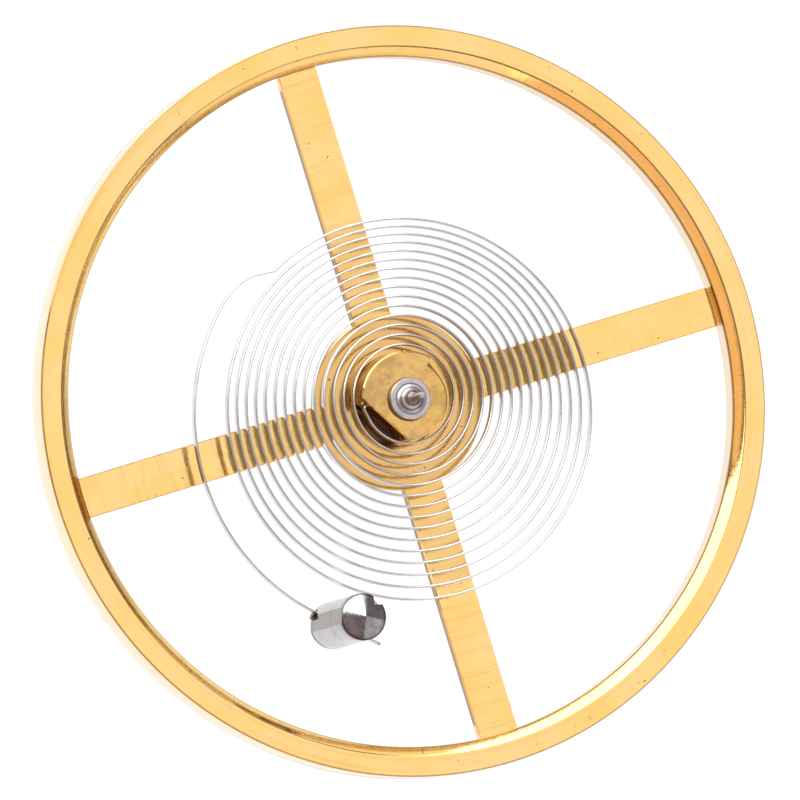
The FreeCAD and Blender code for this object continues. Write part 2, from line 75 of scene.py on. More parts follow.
PIVOT_RADIUS = 0.05
PIVOT_LENGTH = 0.32
UPPER_FLARE_RADIUS = 0.19
UPPER_FLARE_LENGTH = 0.24
LOWER_FLARE_RADIUS = 0.17
LOWER_FLARE_LENGTH = 0.32
ROLLER_SEAT_RADIUS = 0.21
ROLLER_SEAT_LENGTH = 0.83
FLANGE_RADIUS = 0.62
FLANGE_LENGTH = 0.19
JEWEL_CENTRE = (0.72, 0, 0)
RIVET_TOP = ARM_TOP + 0.05
COLLET_SEAT_RADIUS = 0.28
SHOULDER = RIVET_TOP + 0.57

COLLET_LOW = RIVET_TOP + 0.02
COLLET_HIGH = RIVET_TOP + 0.47
COLLET_RADIUS = 0.535
LOBE_RADIUS = 0.65
LOBE_START = 44.0
COLLET_FLAT = 0.42
FLAT_ANGLE = 212.0
CROSS_HOLE = 0.385

STRIP_THICKNESS = 0.03
STRIP_HEIGHT = 0.12
STRIP_OFFSET = 0.03
STRIP_LEVEL = ARM_TOP + 0.275
HOLE_RADIUS = math.hypot(STRIP_HEIGHT / 2, STRIP_OFFSET + STRIP_THICKNESS / 2) + 0.004
INNER_TAIL = 0.90
COIL_ANGLE = 200.0
COIL_RADIUS = 0.608
COIL_PITCH = 0.1352
COIL_END_ANGLE = 117.0
COIL_TURNS = 14 + ((COIL_END_ANGLE - COIL_ANGLE) / 360.0) % 1.0
INNER_SHIFT = np.array((0.04, 0.05))
OUTER_SHIFT = np.array((-0.01, -0.16))
BEND = 0.05
DOGLEG_SWEEP = 14.0
TERMINAL_STEP = 0.286
TERMINAL_CENTRE = np.array((-0.09, -0.22))
TERMINAL_RADIUS = COIL_RADIUS + COIL_PITCH * COIL_TURNS + TERMINAL_STEP
LEAD_RADIUS = 0.90
LEAD_SWEEP = 35.0
OUTER_TAIL = 0.95

STUD_ANGLE = 228.0
STUD_RUN = STUD_ANGLE + 90
STUD_RADIUS = 0.315
STUD_LOW = STRIP_LEVEL - 0.145
STUD_HIGH = STUD_LOW + 1.63
STUD_FACE = STUD_HIGH - 0.13
STUD_SETBACK = 0.29
FACET_TURN = 202
FACET_DEPTH = 0.297
NICK_TURN = 28


# Camera and stage

TILT = math.radians(17.1)
ROLL = math.radians(17.0)
PIXELS_PER_MM = 75.04
FRAME_PIXELS = 800
CENTRE_RIGHT = 2.0
CENTRE_UP = 2.6
CAMERA_DISTANCE = 480.0
FLOOR_HALF = 6.0
FLOOR_DROP = 0.002
PAPER_WHITE = 0.82
FLOOR_GLOW = 1.14
GLOW_SHARE = 0.8


def put_camera():
    along = Vector((math.cos(TILT), 0, math.sin(TILT)))
    across = Vector((0, 1, 0))
    right = along * math.cos(ROLL) - across * math.sin(ROLL)
    up = along * math.sin(ROLL) + across * math.cos(ROLL)
    back = right.cross(up)
    shift = (right * CENTRE_RIGHT + up * CENTRE_UP) / PIXELS_PER_MM
    target = Vector((0, 0, ARM_TOP)) + shift
    data = bpy.data.cameras.new("camera")
    data.sensor_width = 36.0
    data.lens = data.sensor_width * CAMERA_DISTANCE / (FRAME_PIXELS / PIXELS_PER_MM)
    data.clip_start = 0.01
    data.clip_end = 10.0
    camera = bpy.data.objects.new("camera", data)
    turn = Matrix((right, up, back)).transposed().to_4x4()
    camera.matrix_world = Matrix.Translation((target + back * CAMERA_DISTANCE) * MM) @ turn
    bpy.context.scene.collection.objects.link(camera)
    bpy.context.scene.camera = camera


def put_lamp(name, azimuth, elevation, distance, width, height, radiance, colour=(1, 1, 1)):
    """A soft box that looks at the wheel, with the radiance its face shows."""
    a, e = math.radians(azimuth), math.radians(elevation)
    way = Vector((math.cos(a) * math.cos(e), math.sin(a) * math.cos(e), math.sin(e)))
    data = bpy.data.lights.new(name, "AREA")
    data.shape = "RECTANGLE"
    data.size = width
    data.size_y = height
    data.energy = radiance * math.pi * width * height
    data.color = colour
    lamp = bpy.data.objects.new(name, data)
    lamp.location = way * distance
    lamp.rotation_mode = "QUATERNION"
    lamp.rotation_quaternion = way.to_track_quat("Z", "Y")
    lamp.visible_camera = False
    bpy.context.scene.collection.objects.link(lamp)


def put_world(colour):
    world = bpy.data.worlds.new("studio")
    world.use_nodes = True
    world.node_tree.nodes["Background"].inputs["Color"].default_value = colour + (1,)
    bpy.context.scene.world = world


def put_floor():
    """A white sheet that the camera and mirrors see as white, and that takes the shadow."""
    mesh = bpy.data.meshes.new("floor")
    corners = [(x * FLOOR_HALF, y * FLOOR_HALF, 0) for x, y in ((-1, -1), (1, -1), (1, 1), (-1, 1))]
    mesh.from_pydata(corners, [], [(0, 1, 2, 3)])
    floor = bpy.data.objects.new("floor", mesh)
    floor.location.z = -FLOOR_DROP * MM
    bpy.context.scene.collection.objects.link(floor)
    material = bpy.data.materials.new("floor_white")
    material.use_nodes = True
    tree = material.node_tree
    tree.nodes.clear()
    paper = tree.nodes.new("ShaderNodeBsdfDiffuse")
    paper.inputs["Color"].default_value = (PAPER_WHITE, PAPER_WHITE, PAPER_WHITE, 1)
    glow = tree.nodes.new("ShaderNodeEmission")
    glow.inputs["Strength"].default_value = FLOOR_GLOW
    ray = tree.nodes.new("ShaderNodeLightPath")
    sums = []
    for name in ("Is Glossy Ray", "Is Transmission Ray"):
        add = tree.nodes.new("ShaderNodeMath")
        add.operation = "ADD"
        add.use_clamp = True
        tree.links.new(sums[-1].outputs[0] if sums else ray.outputs["Is Camera Ray"], add.inputs[0])
        tree.links.new(ray.outputs[name], add.inputs[1])
        sums.append(add)
    share = tree.nodes.new("ShaderNodeMath")
    share.operation = "MULTIPLY"
    share.inputs[1].default_value = GLOW_SHARE
    tree.links.new(sums[-1].outputs[0], share.inputs[0])
    mix = tree.nodes.new("ShaderNodeMixShader")
    out = tree.nodes.new("ShaderNodeOutputMaterial")
    tree.links.new(share.outputs[0], mix.inputs[0])
    tree.links.new(paper.outputs[0], mix.inputs[1])
    tree.links.new(glow.outputs[0], mix.inputs[2])
    tree.links.new(mix.outputs[0], out.inputs[0])
    mesh.materials.append(material)


# Material building

class Nodes:
    """Short names for building a node tree: a call adds nodes and gives their output."""

    def __init__(self, name, centre=(0, 0, 0)):
        self.material = bpy.data.materials.new(name)
        self.material.use_nodes = True
        self.tree = self.material.node_tree
        self.shader = self.tree.nodes["Principled BSDF"]
        coord = self.tree.nodes.new("ShaderNodeTexCoord")
        shift = self.vector("SUBTRACT", coord.outputs["Object"], tuple(c * MM for c in centre))
        self.place = self.vector("SCALE", shift, scale=1 / MM)
        split = self.tree.nodes.new("ShaderNodeSeparateXYZ")
        self.tree.links.new(self.place, split.inputs[0])
        self.x, self.y, self.z = split.outputs

    def feed(self, socket, value):
        if isinstance(value, bpy.types.NodeSocket):
            self.tree.links.new(value, socket)
        elif value is not None:
            socket.default_value = value

    def math(self, operation, a, b=None):
        node = self.tree.nodes.new("ShaderNodeMath")
        node.operation = operation
        for socket, value in zip(node.inputs, (a, b)):
            self.feed(socket, value)
        return node.outputs[0]

    def times(self, first, *others):
        for other in others:
            first = self.math("MULTIPLY", first, other)
        return first

    def vector(self, operation, a, b=None, scale=None):
        node = self.tree.nodes.new("ShaderNodeVectorMath")
        node.operation = operation
        self.feed(node.inputs[0], a)
        self.feed(node.inputs[1], b)
        if scale is not None:
            node.inputs["Scale"].default_value = scale
        return node.outputs["Vector"]

    def join(self, x, y, z=0.0):
        node = self.tree.nodes.new("ShaderNodeCombineXYZ")
        for socket, value in zip(node.inputs, (x, y, z)):
            self.feed(socket, value)
        return node.outputs[0]

    def noise(self, where, scale, detail=2.0, rough=0.5):
        node = self.tree.nodes.new("ShaderNodeTexNoise")
        self.feed(node.inputs["Vector"], where)
        node.inputs["Scale"].default_value = scale
        node.inputs["Detail"].default_value = detail
        node.inputs["Roughness"].default_value = rough
        return node.outputs["Fac"]

    def cells(self, where, scale):
        node = self.tree.nodes.new("ShaderNodeTexVoronoi")
        self.feed(node.inputs["Vector"], where)
        node.inputs["Scale"].default_value = scale
        return node.outputs["Distance"]

    def span(self, value, low, high, to_low=0.0, to_high=1.0):
        """A smooth step from to_low to to_high, while value goes from low to high."""
        node = self.tree.nodes.new("ShaderNodeMapRange")
        node.interpolation_type = "SMOOTHSTEP"
        for name, amount in (("Value", value), ("From Min", low), ("From Max", high),
                             ("To Min", to_low), ("To Max", to_high)):
            self.feed(node.inputs[name], amount)
        return node.outputs["Result"]

    def below(self, value, low, high, share=1.0):
        """The share under low, falling to none at high."""
        return self.span(value, low, high, share, 0.0)

    def near(self, value, middle, full, none, share=1.0):
        """The share within a distance of middle, falling to none further out."""
        away = self.math("ABSOLUTE", self.math("SUBTRACT", value, middle))
        return self.below(away, full, none, share)

    def toward(self, degrees):
        """How far a point lies from the axis along a level direction."""
        a = math.radians(degrees)
        return self.math("ADD", self.times(self.x, math.cos(a)), self.times(self.y, math.sin(a)))

    def radius(self):
        squares = self.math("ADD", self.times(self.x, self.x), self.times(self.y, self.y))
        return self.math("SQRT", squares)

    def mix(self, share, a, b, kind="MIX"):
        node = self.tree.nodes.new("ShaderNodeMix")
        node.data_type = "RGBA"
        node.blend_type = kind
        self.feed(node.inputs["Factor"], share)
        for socket, value in zip([s for s in node.inputs if s.type == "RGBA"], (a, b)):
            if isinstance(value, tuple):
                value = value + (1.0,)
            self.feed(socket, value)
        return next(s for s in node.outputs if s.type == "RGBA")

    def relief(self, height, depth, before=None):
        node = self.tree.nodes.new("ShaderNodeBump")
        node.inputs["Distance"].default_value = depth * MM
        self.feed(node.inputs["Height"], height)
        self.feed(node.inputs["Normal"], before)
        return node.outputs[0]

    def finish(self, colour, roughness, normal=None, metallic=1.0, **sockets):
        self.feed(self.shader.inputs["Base Color"], colour)
        self.feed(self.shader.inputs["Roughness"], roughness)
        self.feed(self.shader.inputs["Normal"], normal)
        self.shader.inputs["Metallic"].default_value = metallic
        for name, value in sockets.items():
            self.shader.inputs[name.replace("_", " ")].default_value = value
        return self.material


# Gilt brass

GOLD = (0.96, 0.655, 0.27)
WARM_GOLD = (0.95, 0.62, 0.20)
PATCH_GOLD = (0.90, 0.54, 0.17)
RING_BROWN = (0.78, 0.46, 0.15)
PIT_BROWN = (0.30, 0.17, 0.05)
TARNISH = (0.58, 0.5452, 0.551)
FADED = (0.80, 0.74, 0.66)
PAINTED_REFLECTION_OUTSIDE = (0.94, 0.79, 0.56)
PAINTED_REFLECTION_INSIDE = (0.93, 0.80, 0.64)
EDGE_SHADE_BROWN = (0.34, 0.19, 0.06)
FOOT_SHADE_BROWN = (0.30, 0.16, 0.05)
SPRING_SHADE_BROWN = (0.66, 0.39, 0.15)
SIDE_SHADE_BROWN = (0.16, 0.09, 0.06)
SCRATCH_BROWN = (0.42, 0.26, 0.12)
FLAT_SHADE_BROWN = (0.09, 0.035, 0.02)
COIL_REACH = 2.47
ARM_END = 4.45


def gilt(name, patches, pit_level, zone):
    """Fire-gilt brass: lathe rings about the staff, slow colour change, small pits."""
    n = Nodes(name)
    r = n.radius()
    turn = n.math("ARCTAN2", n.y, n.x)
    rings = n.noise(n.join(n.times(r, 22.0), n.times(turn, 0.8)), 1.0, 3.0, 0.7)
    slow = n.noise(n.place, 1.1, 3.0, 0.55)
    fine = n.noise(n.place, 11.0, 4.0, 0.65)
    tone = n.mix(n.span(slow, 0.35, 0.68), GOLD, WARM_GOLD)
    tone = n.mix(n.times(n.span(fine, 0.52, 0.72), patches), tone, PATCH_GOLD)
    tone = n.mix(n.times(n.span(rings, 0.5, 0.66), 0.42), tone, RING_BROWN)
    spots = n.below(n.cells(n.place, 5.5), 0.04, 0.10)
    pits = n.times(spots, n.math("GREATER_THAN", n.noise(n.place, 5.5, 0.0), pit_level))
    tone = n.mix(n.times(pits, 0.75), tone, PIT_BROWN)
    rough = n.math("ADD", n.span(fine, 0.3, 0.7, 0.08, 0.15), n.times(pits, 0.2))
    tone, rough = zone(n, r, turn, tone, rough)
    bump = n.relief(rings, 0.0012)
    bump = n.relief(fine, 0.0010, bump)
    bump = n.relief(n.math("SUBTRACT", 1.0, pits), 0.006, bump)
    return n.finish(tone, rough, bump)


def collet_zone(n, r, turn, tone, rough):
    """Cloudy, tarnished gilding all over the collet."""
    cloud = n.span(n.noise(n.place, 3.4, 4.0, 0.7), 0.38, 0.62)
    return n.mix(1.0, tone, n.mix(cloud, TARNISH, FADED), "MULTIPLY"), rough


def wheel_zone(n, r, turn, tone, rough):
    """The wheel's painted reflections on its outer and inner walls; painted shade at the rim's edges, at the
    slope's foot, under the spring, on the arms' and hub's sides and undersides and beside the collet;
    scratches.
    """
    # Painted reflection: the outer wall is painted paler than the gilding.
    outer_wall_reflection = n.times(n.span(r, RIM_OUTER - 0.012, RIM_OUTER - 0.004),
                         n.below(n.z, RIM_HIGH - 0.05, RIM_HIGH - 0.02))

    # Painted reflection: the lower inner wall, away from the arms, is painted paler than the gilding.
    inner_wall_reflection = n.times(n.below(r, SLOPE_INNER + 0.004, SLOPE_INNER + 0.012),
                         n.span(r, SLOPE_INNER - 0.02, SLOPE_INNER - 0.01),
                         n.below(n.z, SLOPE_LOW - 0.06, SLOPE_LOW - 0.035))
    off_arms = n.math("MINIMUM", n.math("ABSOLUTE", n.x), n.math("ABSOLUTE", n.y))
    inner_wall_reflection = n.times(inner_wall_reflection, n.span(off_arms, 0.20, ARM_HALF_WIDTH))

    on_face = n.span(n.z, RIM_HIGH - 0.03, RIM_HIGH - 0.02)
    # Painted shade: dark lines along the rim face's outer and inner edges.
    outer_edge_shade = n.times(n.near(r, RIM_OUTER, 0.0112, 0.028, 0.7), on_face)
    inner_edge_shade = n.times(n.near(r, FACE_INNER, 0.0064, 0.016, 0.1), on_face)
    # Painted shade: a dark line in the corner at the foot of the slope.
    slope_foot_shade = n.times(n.near(n.z, SLOPE_LOW - 0.016, 0.018, 0.040, 0.85),
                         n.below(r, SLOPE_INNER + 0.014, SLOPE_INNER + 0.03),
                         n.span(r, SLOPE_INNER - 0.115, SLOPE_INNER - 0.065))

    # Painted shade and painted reflection of the spring: the hub and the arms under the coils are browner,
    # the hub most.
    spring_shade = n.times(n.span(r, HUB_RADIUS - 0.02, HUB_RADIUS + 0.02, 0.66, 0.34),
                   n.below(r, COIL_REACH - 0.03, COIL_REACH + 0.03))
    # Painted shade: within the arms' reach, everything lower than just under the arms' top, that is the side
    # walls and undersides of the arms and hub, is painted dark brown.
    sides = n.times(n.below(n.z, ARM_TOP - 0.04, ARM_TOP - 0.015, 0.8),
                    n.below(r, ARM_END - 0.05, ARM_END))
    scratches = n.noise(n.join(n.times(r, 5.0), n.times(turn, 60.0), 7.0), 1.0, 1.0, 0.5)
    scratches = n.times(n.span(scratches, 0.735, 0.775, 0.0, 0.6),
                        n.span(r, ARM_END - 0.05, ARM_END + 0.05))

    # Painted shade: the hub's top beside the collet's flat is painted near black.
    shade_beside_flat = n.times(n.span(n.toward(FLAT_ANGLE), 0.40, 0.46),
                          n.near(n.toward(FLAT_ANGLE + 90), 0.0, 0.30, 0.44),
                          n.below(r, 0.62, 0.70, 0.92))

    for share, colour in ((outer_wall_reflection, PAINTED_REFLECTION_OUTSIDE), (inner_wall_reflection, PAINTED_REFLECTION_INSIDE),
                          (outer_edge_shade, EDGE_SHADE_BROWN), (inner_edge_shade, EDGE_SHADE_BROWN),
                          (slope_foot_shade, FOOT_SHADE_BROWN), (spring_shade, SPRING_SHADE_BROWN), (sides, SIDE_SHADE_BROWN),
                          (scratches, SCRATCH_BROWN), (shade_beside_flat, FLAT_SHADE_BROWN)):
        tone = n.mix(share, tone, colour)

    matt = n.times(n.span(r, SLOPE_INNER - 0.02, SLOPE_INNER - 0.01),
                   n.below(r, SLOPE_INNER + 0.01, SLOPE_INNER + 0.02),
                   n.below(n.z, SLOPE_LOW - 0.05, SLOPE_LOW - 0.03))
    return tone, n.math("ADD", rough, n.times(matt, 0.35))


# Steel, brass, ruby and spring alloy

def steel(name, colour, centre=(0, 0, 0), rings=30.0, depth=0.0012, roughness=(0.12, 0.24), zone=None):
    """Turned steel: fine rings round its own axis, with faint stains."""
    n = Nodes(name, centre)
    r = n.radius()
    cut = n.noise(n.join(n.times(r, rings), 0.0, n.times(n.z, rings)), 1.0, 2.0, 0.6)
    stain = n.noise(n.place, 4.0, 3.0, 0.6)
    dark = tuple(c * 0.72 for c in colour)
    tone = n.mix(n.span(stain, 0.45, 0.75), colour, dark)
    if zone:
        tone = zone(n, r, tone)
    rough = n.span(stain, 0.3, 0.7, *roughness)
    return n.finish(tone, rough, n.relief(cut, depth))


def staff_zone(n, r, tone):
    """Painted shade on the staff's rivet lip and on its flange under the wheel, and dark grooves left by
    turning on the upper end.
    """
    # Painted shade: the staff lower than just above the rivet's top and further out than the collet seat,
    # that is the rivet lip and the flange, is painted near black.
    shade_under_collet = n.times(n.below(n.z, RIVET_TOP, RIVET_TOP + 0.02), n.span(r, 0.30, 0.34), 0.9)
    tone = n.mix(shade_under_collet, tone, (0.10, 0.045, 0.03))
    for radius, full, none, share in ((0.205, 0.005, 0.015, 0.75), (0.150, 0.006, 0.018, 0.8),
                                      (0.095, 0.007, 0.021, 0.8)):
        groove = n.times(n.near(r, radius, full, none, share),
                         n.span(n.z, SHOULDER - 0.02, SHOULDER - 0.005))
        tone = n.mix(groove, tone, (0.10, 0.085, 0.09))
    return tone


def stud_zone(n, r, tone):
    """Mottling on the stud's cone, painted shade at its face's edge and at its foot, and painted shade on
    the facet.
    """
    mottle = n.span(n.noise(n.place, 9.0, 3.0, 0.7), 0.44, 0.58, 0.0, 0.7)
    mottle = n.times(mottle, n.span(n.z, STUD_FACE - 0.01, STUD_FACE + 0.005))
    tone = n.mix(mottle, tone, (0.30, 0.285, 0.31))
    # Painted shade: dark bands just under the face's edge and at the foot of the stud's side.
    face_edge_shade = n.near(n.z, STUD_FACE - 0.030, 0.030, 0.056, 0.8)
    foot_shade = n.below(n.z, STUD_LOW + 0.065, STUD_LOW + 0.135, 0.85)
    stud_edge_shade = n.times(n.math("MAXIMUM", face_edge_shade, foot_shade), n.span(r, 0.27, 0.30))
    tone = n.mix(stud_edge_shade, tone, (0.05, 0.045, 0.055))
    # Painted shade: the facet is painted darker than the rest of the stud.
    facet = n.span(n.toward(STUD_RUN + FACET_TURN), FACET_DEPTH - 0.005, FACET_DEPTH - 0.0005,
                   0.0, 0.75)
    return n.mix(facet, tone, (0.20, 0.195, 0.175))


def drawn_brass(name, direction, bright, dull):
    """Drawn brass wire: lines along the pin."""
    n = Nodes(name)
    lines = n.noise(n.join(n.times(n.toward(direction + 90), 90.0), n.times(n.toward(direction), 2.0),
                           n.times(n.z, 90.0)), 1.0, 2.0, 0.6)
    stain = n.noise(n.place, 9.0, 3.0, 0.6)
    tone = n.mix(n.span(stain, 0.4, 0.7), bright, dull)
    return n.finish(tone, n.span(lines, 0.3, 0.7, 0.2, 0.38), n.relief(lines, 0.0015))


def ruby(name):
    """Clear pinkish red corundum with faint growth lines."""
    n = Nodes(name, JEWEL_CENTRE)
    curve = n.noise(n.vector("MULTIPLY", n.place, (3.0, 3.0, 22.0)), 1.0, 2.0, 0.5)
    tone = n.mix(n.span(curve, 0.35, 0.65), (0.80, 0.03, 0.13), (0.66, 0.02, 0.09))
    rough = n.span(curve, 0.3, 0.7, 0.03, 0.07)
    return n.finish(tone, rough, None, 0.0, IOR=1.77, Transmission_Weight=0.55)


def spring_metal(name):
    """White spring alloy with faint heat tints."""
    n = Nodes(name)
    stain = n.noise(n.place, 2.2, 3.0, 0.6)
    tone = n.mix(n.span(stain, 0.4, 0.7), (0.74, 0.74, 0.75), (0.64, 0.64, 0.66))
    return n.finish(tone, n.span(stain, 0.3, 0.7, 0.14, 0.22))


# The hairspring: its centre line by arcs and a spiral, then the strip along it

COIL_STEPS = 150
EDGE_POINTS = 9


def heading(degrees):
    turn = math.radians(degrees)
    return np.array((math.cos(turn), math.sin(turn)))


def left_of(way):
    return np.array((-way[1], way[0]))


def coil_point(turns):
    share = turns / COIL_TURNS
    centre = INNER_SHIFT * (1 - share) + OUTER_SHIFT * share ** 3
    return centre + heading(COIL_ANGLE + 360.0 * turns) * (COIL_RADIUS + COIL_PITCH * turns)


def coil_way(turns):
    step = 1e-4
    way = coil_point(turns + step) - coil_point(turns - step)
    return way / np.linalg.norm(way)


def arc_points(centre, start, finish, side, step=0.012):
    """Points from start to finish round a centre, leftwards for side 1, without the last."""
    first = math.atan2(*(start - centre)[::-1])
    last = math.atan2(*(finish - centre)[::-1])
    sweep = ((last - first) * side) % (2 * math.pi)
    radius = np.linalg.norm(start - centre)
    count = max(3, math.ceil(sweep * radius / step))
    return [centre + radius * np.array((math.cos(first + side * sweep * k / count),
                                        math.sin(first + side * sweep * k / count)))
            for k in range(count)]


def linked(start, way, finish, last_way, radius):
    """A turn, a straight run and a turn: the shortest such way, as points."""
    ways = []
    for side in (1, -1):
        for last_side in (1, -1):
            a = start + left_of(way) * radius * side
            b = finish + left_of(last_way) * radius * last_side
            between = b - a
            length = np.linalg.norm(between)
            lean = 0.0
            if side != last_side:
                if length <= 2 * radius:
                    continue
                lean = math.asin(2 * radius / length) * side
            c, s = math.cos(lean), math.sin(lean)
            run = np.array((between[0] * c - between[1] * s, between[0] * s + between[1] * c)) / length
            leave = a - left_of(run) * radius * side
            meet = b - left_of(run) * radius * last_side
            points = arc_points(a, start, leave, side) + [leave]
            points += arc_points(b, meet, finish, last_side)
            points.append(finish)
            length = sum(np.linalg.norm(q - p) for p, q in zip(points, points[1:]))
            ways.append((length, points))
    return min(ways, key=lambda way: way[0])[1]


def spring_line():
    """Points along the strip and, for each, how far it turns with the balance."""
    normal = heading(FLAT_ANGLE)
    pinned = left_of(normal) * -(CROSS_HOLE - STRIP_OFFSET)
    elbow = pinned + normal * COLLET_FLAT
    points = [elbow - normal * INNER_TAIL * k / 6 for k in range(6, 0, -1)]
    points += linked(elbow, normal, coil_point(0), coil_way(0), BEND)
    weights = [1.0] * len(points)
    steps = round(COIL_TURNS * COIL_STEPS)
    for k in range(1, steps + 1):
        points.append(coil_point(COIL_TURNS * k / steps))
        weights.append(1.0 - k / steps)
    first = COIL_END_ANGLE + DOGLEG_SWEEP
    lead_centre = TERMINAL_CENTRE + heading(first) * (TERMINAL_RADIUS - LEAD_RADIUS)
    lead_angle = first - LEAD_SWEEP
    lead_start = lead_centre + heading(lead_angle) * LEAD_RADIUS
    tail = linked(points[-1], coil_way(COIL_TURNS), lead_start, heading(lead_angle + 90), BEND)[1:]
    join = TERMINAL_CENTRE + heading(first) * TERMINAL_RADIUS
    tail += arc_points(lead_centre, lead_start, join, 1)[1:]
    end = TERMINAL_CENTRE + heading(STUD_ANGLE) * TERMINAL_RADIUS
    tail += arc_points(TERMINAL_CENTRE, join, end, 1, 0.03)
    tail += [end + heading(STUD_RUN) * OUTER_TAIL * k / 6 for k in range(7)]
    return np.array(points + tail), np.array(weights + [0.0] * len(tail))


def strip_section():
    """The rolled strip's section: flat sides and rounded upper and lower edges."""
    half = STRIP_THICKNESS / 2
    straight = STRIP_HEIGHT / 2 - half
    upper = [(half * math.cos(t), straight + half * math.sin(t))
             for t in np.linspace(0, math.pi, EDGE_POINTS)]
    return upper + [(-x, -y) for x, y in upper]


def hairspring():
    """The strip, which winds with the balance: its inner end turns all the way, its outer end not."""
    points, weights = spring_line()
    ways = np.gradient(points, axis=0)
    ways /= np.linalg.norm(ways, axis=1)[:, None]
    sides = np.stack((-ways[:, 1], ways[:, 0]), axis=1)
    section = strip_section()
    count = len(section)
    verts = []
    for point, side in zip(points, sides):
        for x, y in section:
            verts.append(((point[0] + side[0] * x) * MM, (point[1] + side[1] * x) * MM,
                          (STRIP_LEVEL + y) * MM))
    faces = [tuple(range(count))]
    for ring in range(len(points) - 1):
        low, high = ring * count, (ring + 1) * count
        faces += [(low + k, high + k, high + (k + 1) % count, low + (k + 1) % count)
                  for k in range(count)]
    last = (len(points) - 1) * count
    faces.append(tuple(last + k for k in reversed(range(count))))
    mesh = bpy.data.meshes.new("hairspring_strip")
    mesh.from_pydata(verts, [], faces)
    mesh.update()
    mesh.polygons.foreach_set("use_smooth", [len(p.vertices) == 4 for p in mesh.polygons])
    strip = bpy.data.objects.new("hairspring_strip", mesh)
    bpy.context.scene.collection.objects.link(strip)
    mesh.materials.append(spring_metal("spring_alloy_rolled"))
    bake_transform(strip, "stud_side", "balance", start=(0.003, 0, 0), end=(0, 0, 0))
    mesh.attributes["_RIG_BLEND"].data.foreach_set(
        "value", np.repeat(weights, count).astype(np.float32))
    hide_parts("hairspring")


# Turned pieces, smooth where the model has short flats

ROUNDING_POINTS = 4
FLARE_POINTS = 14
DRILL_POINTS = 48
EDGE_ROUNDING = 0.018
OUTER_EDGE_ROUNDING = 0.022
HUB_EDGE = 0.012
ARM_START = 0.8


def new_piece(name, verts, faces):
    mesh = bpy.data.meshes.new(name)
    mesh.from_pydata([tuple(c * MM for c in v) for v in verts], [], faces)
    shape = bmesh.new()
    shape.from_mesh(mesh)
    bmesh.ops.recalc_face_normals(shape, faces=shape.faces)
    shape.to_mesh(mesh)
    shape.free()
    piece = bpy.data.objects.new(name, mesh)
    bpy.context.scene.collection.objects.link(piece)
    return piece


def turned(name, profile, steps=0, closed=False, angles=None, centre=(0, 0)):
    """A profile of radius and height turned round an upright axis. A radius may be a list."""
    if angles is None:
        angles = np.linspace(0, 2 * math.pi, steps, endpoint=False)
    count = len(angles)
    verts, rings = [], []
    for radius, height in profile:
        if np.ndim(radius) == 0 and radius == 0:
            rings.append([len(verts)] * count)
            verts.append((centre[0], centre[1], height))
            continue
        radii = np.broadcast_to(radius, count)
        rings.append(list(range(len(verts), len(verts) + count)))
        verts += [(centre[0] + r * math.cos(t), centre[1] + r * math.sin(t), height)
                  for r, t in zip(radii, angles)]
    pairs = list(zip(rings, rings[1:]))
    if closed:
        pairs.append((rings[-1], rings[0]))
    faces = []
    for low, high in pairs:
        for k in range(count):
            face = (low[k], low[k - count + 1], high[k - count + 1], high[k])
            faces.append(tuple(dict.fromkeys(face)))
    return new_piece(name, verts, faces)


def bar(name, section, start, end, turn, centre):
    """A section of sideways distance and height, drawn out along a level direction."""
    c, s = math.cos(math.radians(turn)), math.sin(math.radians(turn))
    verts = [(centre[0] + x * c - y * s, centre[1] + x * s + y * c, z)
             for x in (start, end) for y, z in section]
    count = len(section)
    faces = [tuple(range(count)), tuple(range(count, 2 * count))]
    faces += [(k, (k + 1) % count, (k + 1) % count + count, k + count) for k in range(count)]
    return new_piece(name, verts, faces)


def block(name, low, high, turn=0.0, centre=(0, 0), bevel=0.0):
    """An upright block, turned about its own origin, with its two long top edges cut."""
    (x0, y0, z0), (x1, y1, z1) = low, high
    section = [(y0, z0), (y1, z0), (y1, z1 - bevel), (y1 - bevel, z1), (y0 + bevel, z1), (y0, z1 - bevel)]
    return bar(name, section, x0, x1, turn, centre)


def lying_rod(name, radius, middle, turn, reach):
    """A round rod that lies along a direction, used as a drill."""
    ring = [(radius * math.cos(t), middle[2] + radius * math.sin(t))
            for t in np.linspace(0, 2 * math.pi, DRILL_POINTS, endpoint=False)]
    return bar(name, ring, -reach, reach, turn, middle)


def combine(piece, tool, operation):
    """Adds or cuts with another piece, which is used up."""
    step = piece.modifiers.new("step", "BOOLEAN")
    step.operation = operation
    step.solver = "EXACT"
    step.object = tool
    bpy.context.view_layer.update()
    done = bpy.data.meshes.new_from_object(piece.evaluated_get(bpy.context.evaluated_depsgraph_get()))
    piece.modifiers.clear()
    old, piece.data = piece.data, done
    bpy.data.meshes.remove(old)
    bpy.data.objects.remove(tool)


def stands_for(piece, node, body, material, sharp=22.0):
    """Smooths a piece, except at edges sharper than an angle, and puts it in a node's place."""
    mesh = piece.data
    mesh.polygons.foreach_set("use_smooth", [True] * len(mesh.polygons))
    mesh.set_sharp_from_angle(angle=math.radians(sharp))
    mesh.materials.clear()
    mesh.materials.append(material)
    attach(piece, body)
    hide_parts(node)


def rounded(corner, before, after, size):
    """A corner of a profile, rounded between points at a distance on its two sides."""
    corner, before, after = (np.array(p, dtype=float) for p in (corner, before, after))
    first = corner + (before - corner) / np.linalg.norm(before - corner) * size
    last = corner + (after - corner) / np.linalg.norm(after - corner) * size
    return [tuple((1 - t) ** 2 * first + 2 * t * (1 - t) * corner + t ** 2 * last)
            for t in np.linspace(0, 1, ROUNDING_POINTS)]


